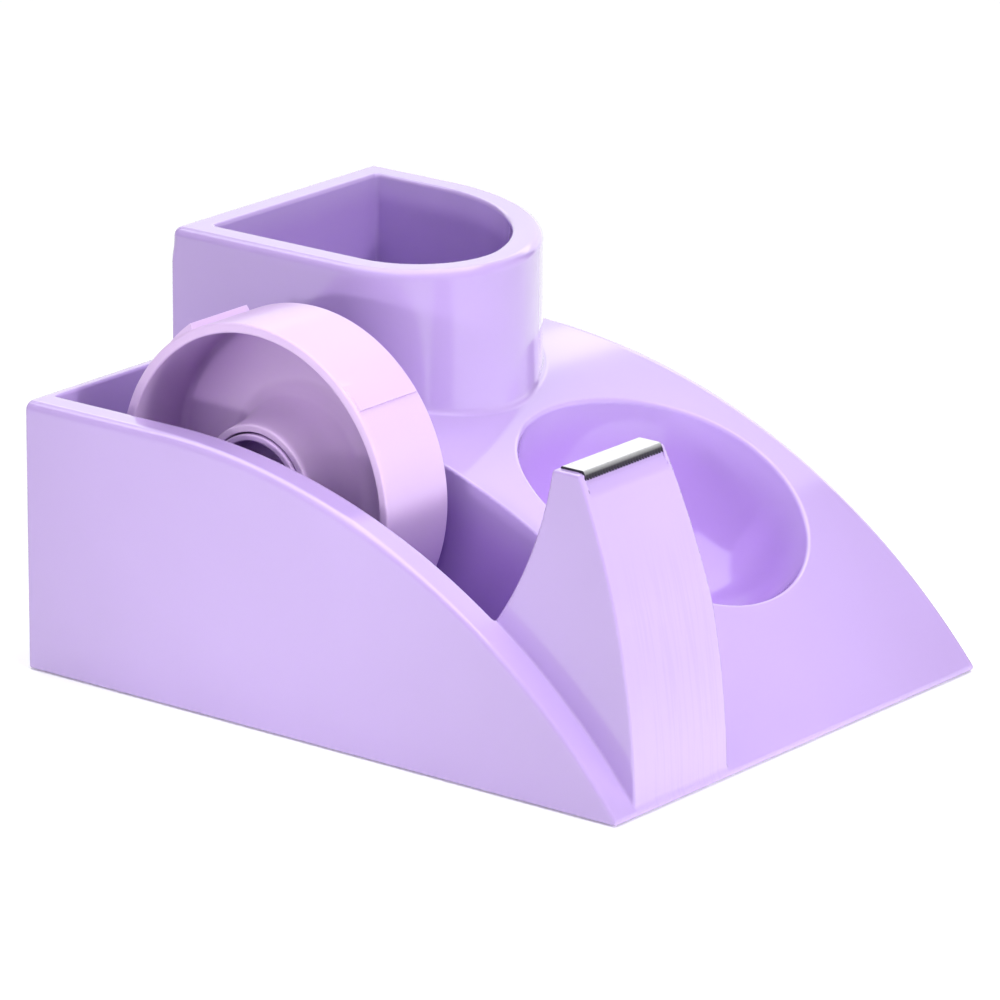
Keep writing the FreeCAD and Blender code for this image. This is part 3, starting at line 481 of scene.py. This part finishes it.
# ---------------------------------------------------------------------- blade
def blade_mesh():
    """a steel strip on the post's top: leg in a slot at the back, flat land,
    lip bent down at the front and cut into teeth"""
    left, right, teeth, per = 9.2, 35.6, 28, 4
    t, top, back, bend, lip = 0.6, 72.1, 22.2, 16.7, 1.75
    down = math.radians(60.0)
    dy, dz = -math.cos(down), -math.sin(down)
    ny, nz = -math.sin(down), math.cos(down)
    cols = []
    n = teeth * per
    for i in range(n + 1):
        x = left + (right - left) * i / n
        ph = (i % per) / per
        saw = 1.0 - abs(2.0 * ph - 1.0)
        reach = lip - 0.8 * saw
        sec = [(back - t, top - 5.0), (back, top - 5.0)]
        for k in range(5):
            a = math.radians(90.0 * k / 4)
            sec.append((back - 0.45 + 0.45 * math.cos(a), top - 0.45 + 0.45 * math.sin(a)))
        for k in range(5):
            a = down * k / 4
            sec.append((bend - t * math.sin(a), top - t + t * math.cos(a)))
        oy, oz = bend + ny * t, top - t + nz * t
        keen = 0.3
        sec.append((oy + dy * reach * 0.45, oz + dz * reach * 0.45))
        sec.append((oy + dy * reach - ny * (t - keen) * 0.6, oz + dz * reach - nz * (t - keen) * 0.6))
        sec.append((oy + dy * reach - ny * t, oz + dz * reach - nz * t))
        sec.append((oy + dy * reach * 0.45 - ny * t, oz + dz * reach * 0.45 - nz * t))
        sec.append((bend, top - t))
        sec.append((back - t, top - t))
        cols.append([(x, y, z) for y, z in sec])
    k = len(cols[0])
    v = [p for c in cols for p in c]
    q = []
    for i in range(n):
        for j in range(k):
            q.append((i * k + j, (i + 1) * k + j, (i + 1) * k + (j + 1) % k, i * k + (j + 1) % k))
    m = bpy.data.meshes.new("serrated_blade")
    caps = [tuple(range(k)), tuple(n * k + j for j in reversed(range(k)))]
    m.from_pydata([tuple((np.array(p) - SHIFT) * 0.001) for p in v], [], q + caps)
    m.validate()
    import bmesh
    bm = bmesh.new()
    bm.from_mesh(m)
    bmesh.ops.recalc_face_normals(bm, faces=bm.faces)
    bmesh.ops.triangulate(bm, faces=[f for f in bm.faces if len(f.verts) > 4])
    bm.to_mesh(m)
    bm.free()
    o = bpy.data.objects.new("serrated_blade", m)
    bpy.context.scene.collection.objects.link(o)
    m.polygons.foreach_set("use_smooth", np.ones(len(m.polygons), bool))
    m.set_sharp_from_angle(angle=math.radians(30))
    return o


blade = blade_mesh()


# ------------------------------------------------------------------ materials
def material(name):
    m = bpy.data.materials.new(name)
    m.use_nodes = True
    nt = m.node_tree
    nt.nodes.clear()
    out = nt.nodes.new("ShaderNodeOutputMaterial")
    bsdf = nt.nodes.new("ShaderNodeBsdfPrincipled")
    nt.links.new(bsdf.outputs["BSDF"], out.inputs["Surface"])
    co = nt.nodes.new("ShaderNodeTexCoord")
    return m, nt, bsdf, co.outputs["Object"]


def noise(nt, co, scale, detail=3.0, rough=0.55, stretch=None):
    if stretch is not None:
        mp = nt.nodes.new("ShaderNodeMapping")
        mp.inputs["Scale"].default_value = stretch
        nt.links.new(co, mp.inputs["Vector"])
        co = mp.outputs["Vector"]
    n = nt.nodes.new("ShaderNodeTexNoise")
    n.inputs["Scale"].default_value = scale
    n.inputs["Detail"].default_value = detail
    n.inputs["Roughness"].default_value = rough
    nt.links.new(co, n.inputs["Vector"])
    return n.outputs["Fac"]


def remap(nt, fac, low, high, from_low=0.3, from_high=0.7):
    r = nt.nodes.new("ShaderNodeMapRange")
    r.inputs["From Min"].default_value = from_low
    r.inputs["From Max"].default_value = from_high
    r.inputs["To Min"].default_value = low
    r.inputs["To Max"].default_value = high
    nt.links.new(fac, r.inputs["Value"])
    return r.outputs["Result"]


def ramp(nt, fac, stops):
    c = nt.nodes.new("ShaderNodeValToRGB")
    while len(c.color_ramp.elements) < len(stops):
        c.color_ramp.elements.new(0.5)
    for e, (at, col) in zip(c.color_ramp.elements, stops):
        e.position = at
        e.color = (*col, 1.0)
    nt.links.new(fac, c.inputs["Fac"])
    return c.outputs["Color"]


def bump(nt, bsdf, height, strength, distance, after=None):
    b = nt.nodes.new("ShaderNodeBump")
    b.inputs["Strength"].default_value = strength
    b.inputs["Distance"].default_value = distance
    nt.links.new(height, b.inputs["Height"])
    if after is not None:
        nt.links.new(after, b.inputs["Normal"])
    nt.links.new(b.outputs["Normal"], bsdf.inputs["Normal"])
    return b.outputs["Normal"]


def tone(c, k):
    return tuple(min(1.0, v * k) for v in c)


def plastic(name, colour, rough=0.12, vary=0.025, sss=0.05, grain=0.0, coat=1.0, wear=1.0):
    """glossy moulded ABS: even colour with a faint drift, soft orange-peel
    ripple, and fine handling marks in the gloss"""
    m, nt, b, co = material(name)
    drift = noise(nt, co, 18.0, 2.0)
    nt.links.new(ramp(nt, drift, [(0.3, tone(colour, 1 - vary)), (0.7, tone(colour, 1 + vary))]), b.inputs["Base Color"])
    marks = noise(nt, co, 900.0, 4.0, 0.7)
    nt.links.new(remap(nt, marks, rough * (1 - 0.18 * wear), rough * (1 + 0.25 * wear)), b.inputs["Roughness"])
    peel = noise(nt, co, 160.0, 2.0)
    n = bump(nt, b, peel, 0.012, 0.0003)
    if grain:
        bump(nt, b, noise(nt, co, 2600.0, 3.0), grain, 0.00008, n)
    b.inputs["IOR"].default_value = 1.5
    b.inputs["Subsurface Weight"].default_value = sss
    b.inputs["Subsurface Radius"].default_value = (1.0, 0.7, 1.2)
    b.inputs["Subsurface Scale"].default_value = 0.0025
    b.inputs["Coat Weight"].default_value = coat
    b.inputs["Coat Roughness"].default_value = 0.10
    return m


def steel(name, colour, rough, stretch, scratch=0.25, metallic=1.0):
    m, nt, b, co = material(name)
    lines = noise(nt, co, 1400.0, 4.0, 0.6, stretch)
    nt.links.new(ramp(nt, noise(nt, co, 60.0), [(0.3, tone(colour, 0.94)), (0.7, colour)]), b.inputs["Base Color"])
    nt.links.new(remap(nt, lines, rough * 0.7, rough * 1.4), b.inputs["Roughness"])
    bump(nt, b, lines, scratch, 0.00003)
    b.inputs["Metallic"].default_value = metallic
    return m


LAVENDER = (0.525, 0.386, 0.750)
shell_mat = plastic("glossy_lavender_abs", LAVENDER)
reel_mat = plastic("pale_lilac_abs", (0.700, 0.520, 0.815), rough=0.30, coat=0.25, wear=0.3)
spindle_mat = plastic("lilac_abs", (0.600, 0.425, 0.745), rough=0.18)
cover_mat = plastic("satin_lavender_abs", (0.440, 0.310, 0.680), rough=0.42, grain=0.25, coat=0.0)
steel_mat = steel("bright_blade_steel", (0.82, 0.82, 0.84), 0.32, (1.0, 12.0, 12.0), metallic=0.5)
screw_mat = steel("zinc_plated_steel", (0.62, 0.62, 0.60), 0.3, (1.0, 1.0, 1.0))
rod_mat = steel("plain_steel_rod", (0.6, 0.6, 0.61), 0.22, (10.0, 1.0, 1.0))


def parts_of(m):
    nt = m.node_tree
    b = next(n for n in nt.nodes if n.type == "BSDF_PRINCIPLED")
    co = next(n for n in nt.nodes if n.type == "TEX_COORD").outputs["Object"]
    sep = nt.nodes.new("ShaderNodeSeparateXYZ")
    nt.links.new(co, sep.inputs["Vector"])
    return nt, b, co, sep.outputs


def product(nt, a, b, kind="MULTIPLY"):
    n = nt.nodes.new("ShaderNodeMath")
    n.operation = kind
    nt.links.new(a, n.inputs[0])
    nt.links.new(b, n.inputs[1])
    return n.outputs[0]


def tint(nt, b, fac, colour):
    """mixes colour over the base colour by fac"""
    mix = nt.nodes.new("ShaderNodeMix")
    mix.data_type = "RGBA"
    old = b.inputs["Base Color"].links[0].from_socket
    nt.links.new(fac, mix.inputs["Factor"])
    nt.links.new(old, mix.inputs["A"])
    mix.inputs["B"].default_value = (*colour, 1.0)
    nt.links.new(mix.outputs["Result"], b.inputs["Base Color"])


def painted_dark_lip(m):
    """painted dark reflection and shade: the bright land of the blade is tinted near black down its toothed lip,
    and on its sheared end"""
    nt, b, co, at = parts_of(m)
    lip = remap(nt, at["Z"], 0.97, 0.0, 0.0711, 0.0721)
    front = remap(nt, at["Y"], 1.0, 0.0, -0.06505, -0.0646)
    end = remap(nt, at["X"], 0.97, 0.0, -0.05577, -0.0557)
    tint(nt, b, product(nt, product(nt, lip, front), end, "MAXIMUM"), (0.03, 0.025, 0.04))


def painted_recess_shade(m, colour):
    """painted shade: the colour is tinted darker and deeper by how far in a point lies, inside the well, the cup,
    the dish and the reel's recess
    """
    nt, b, co, at = parts_of(m)
    a = nt.nodes.new("ShaderNodeAttribute")
    a.attribute_name = "depth"
    tint(nt, b, a.outputs["Fac"], colour)


def flow_lines(m):
    """faint lines down the front of the cutter post, as the moulding flowed"""
    nt, b, co, at = parts_of(m)
    lines = remap(nt, noise(nt, co, 1500.0, 2.0, 0.6, (1.0, 0.03, 0.03)), 0.0, 1.0, 0.46, 0.60)
    here = product(nt, remap(nt, at["X"], 0.0, 1.0, -0.0555, -0.050), remap(nt, at["X"], 1.0, 0.0, -0.028, -0.0255))
    here = product(nt, here, remap(nt, at["Y"], 1.0, 0.0, -0.068, -0.064))
    here = product(nt, here, remap(nt, at["Z"], 0.22, 0.0, 0.040, 0.060))
    tint(nt, b, product(nt, here, lines), tone(LAVENDER, 0.80))


flow_lines(shell_mat)
# painted shade: deeper lavender inside the well, cup and dish, and deeper lilac in the reel's recess
painted_recess_shade(shell_mat, (0.450, 0.278, 0.730))
painted_recess_shade(reel_mat, (0.52, 0.34, 0.66))
# painted dark reflection and shade on the blade's lip and end
painted_dark_lip(steel_mat)


def rubber(name, colour):
    m, nt, b, co = material(name)
    nt.links.new(ramp(nt, noise(nt, co, 300.0), [(0.3, tone(colour, 0.9)), (0.7, colour)]), b.inputs["Base Color"])
    nt.links.new(remap(nt, noise(nt, co, 1500.0), 0.5, 0.7), b.inputs["Roughness"])
    bump(nt, b, noise(nt, co, 2500.0), 0.15, 0.0001)
    return m


def iron(name):
    m, nt, b, co = material(name)
    n = noise(nt, co, 220.0, 8.0, 0.7)
    nt.links.new(ramp(nt, n, [(0.25, (0.05, 0.05, 0.055)), (0.75, (0.16, 0.155, 0.15))]), b.inputs["Base Color"])
    nt.links.new(remap(nt, n, 0.5, 0.8), b.inputs["Roughness"])
    bump(nt, b, n, 0.5, 0.0003)
    b.inputs["Metallic"].default_value = 0.7
    return m


rubber_mat = rubber("pale_foot_rubber", (0.62, 0.62, 0.66))
iron_mat = iron("cast_ballast")


def dress(o, mat):
    o.data.materials.clear()
    o.data.materials.append(mat)


def skin(node, mat):
    o = NODES[node]
    for s in o.material_slots:
        s.material = mat


for o, mat, node, bodyname, slotname in (
        (body, shell_mat, "body_shell", "housing", "lavender_shell"),
        (blade, steel_mat, "cutter_blade", "housing", "blade_steel"),
        (wheel, reel_mat, "large_core_wheel", "reel", "reel_plastic"),
        (spindle, spindle_mat, "small_core_spindle", "reel", "spindle_plastic")):
    dress(o, mat)
    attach(o, bodyname)
    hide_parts(node)
for node, mat in (("base_cover", cover_mat), ("ballast_plate_front", iron_mat), ("ballast_plate_rear", iron_mat),
                  ("base_screws", screw_mat), ("ballast_screws", screw_mat), ("foot_front_left", rubber_mat),
                  ("foot_front_right", rubber_mat), ("foot_rear_left", rubber_mat),
                  ("foot_rear_right", rubber_mat), ("axle_pin", rod_mat)):
    skin(node, mat)

# ------------------------------------------------------------- floor and light
floor_mesh = bpy.data.meshes.new("floor")
floor_mesh.from_pydata([(-6, -6, 0), (6, -6, 0), (6, 6, 0), (-6, 6, 0)], [], [(0, 1, 2, 3)])
floor = bpy.data.objects.new("floor", floor_mesh)
bpy.context.scene.collection.objects.link(floor)
fm, fnt, fb, fco = material("pale_floor")
fnt.links.new(ramp(fnt, noise(fnt, fco, 2.0), [(0.3, (0.93, 0.93, 0.94)), (0.7, (0.95, 0.95, 0.96))]), fb.inputs["Base Color"])
fb.inputs["Roughness"].default_value = 0.6
fb.inputs["Specular IOR Level"].default_value = 0.2
fb.inputs["Emission Color"].default_value = (1.0, 1.0, 1.0, 1.0)
fb.inputs["Emission Strength"].default_value = 0.14
dress(floor, fm)


def area(name, at, aim, size, watts, colour=(1, 1, 1), shape="RECTANGLE"):
    d = bpy.data.lights.new(name, "AREA")
    d.shape = shape
    d.size, d.size_y = size
    d.energy = watts
    d.color = colour
    o = bpy.data.objects.new(name, d)
    bpy.context.scene.collection.objects.link(o)
    o.location = at
    o.rotation_mode = "QUATERNION"
    o.rotation_quaternion = (Vector(aim) - Vector(at)).to_track_quat("-Z", "Y")
    o.visible_camera = False
    return o


def spot(name, at, aim, cone, watts, radius=0.12):
    """a soft-edged lamp that fades out evenly towards the object's ends"""
    d = bpy.data.lights.new(name, "SPOT")
    d.energy = watts
    d.spot_size = math.radians(cone)
    d.spot_blend = 1.0
    d.shadow_soft_size = radius
    o = bpy.data.objects.new(name, d)
    bpy.context.scene.collection.objects.link(o)
    o.location = at
    o.rotation_mode = "QUATERNION"
    o.rotation_quaternion = (Vector(aim) - Vector(at)).to_track_quat("-Z", "Y")
    o.visible_camera = False
    o.visible_glossy = False
    return o


MIDDLE = (0.0, 0.0, 0.04)
area("overhead_softbox", (0.15, 0.3, 1.9), MIDDLE, (2.2, 2.2), 31.0)
area("back_card", (1.45, 1.14, 0.5), MIDDLE, (2.8, 1.0), 9.5)
area("back_high_softbox", (1.15, 0.8, 1.15), MIDDLE, (2.0, 1.0), 5.2)
area("right_front_card", (1.3, -1.04, 0.26), MIDDLE, (1.8, 0.6), 2.5)
area("front_softbox", (0.1, -1.5, 0.6), MIDDLE, (1.6, 1.2), 6.3).visible_glossy = False
area("left_near_softbox", (-0.27, -0.02, 0.17), MIDDLE, (0.24, 0.2), 0.23).visible_glossy = False
spot("camera_side_lamp", (-1.0, -0.8, 0.9), (0.0, -0.03, 0.04), 12.0, 18.0)
spot("front_lamp", (-0.15, -1.5, 0.7), (-0.02, -0.05, 0.04), 9.0, 92.0)
spot("front_high_lamp", (-0.15, -1.2, 1.2), (0.0, -0.03, 0.04), 9.0, 32.0)
spot("top_lamp", (-0.1, -0.3, 1.5), (-0.015, -0.02, 0.05), 9.0, 29.0, 0.15)
spot("reel_lamp", (-1.0, 0.05, 0.16), (-0.034, 0.022, 0.062), 6.5, 26.0, 0.07)

world = bpy.data.worlds.new("studio")
bpy.context.scene.world = world
world.use_nodes = True
wn = world.node_tree
bg = wn.nodes["Background"]
bg.inputs["Color"].default_value = (0.985, 0.99, 1.0, 1.0)
bg.inputs["Strength"].default_value = 0.04
bpy.context.scene.view_settings.view_transform = "Standard"

# --------------------------------------------------------------------- camera
AZ, EL, ROLL = math.radians(51.84), math.radians(17.5), math.radians(0.3)
target = Vector((61.79 - 65.0, 79.47 - 81.35, 40.43)) * 0.001
ahead = Vector((math.sin(AZ) * math.cos(EL), math.cos(AZ) * math.cos(EL), -math.sin(EL)))
right = Vector((math.cos(AZ), -math.sin(AZ), 0.0))
up = right.cross(ahead)
right, up = right * math.cos(ROLL) + up * math.sin(ROLL), up * math.cos(ROLL) - right * math.sin(ROLL)
cam_data = bpy.data.cameras.new("camera")
cam = bpy.data.objects.new("camera", cam_data)
bpy.context.scene.collection.objects.link(cam)
turn = Matrix((right, up, -ahead)).transposed().to_4x4()
cam.matrix_world = Matrix.Translation(target - ahead * 1.60058) @ turn
cam_data.sensor_width = 36.0
cam_data.lens = 7337.69 * 36.0 / 1000.0
cam_data.clip_start, cam_data.clip_end = 0.05, 50.0
bpy.context.scene.camera = cam
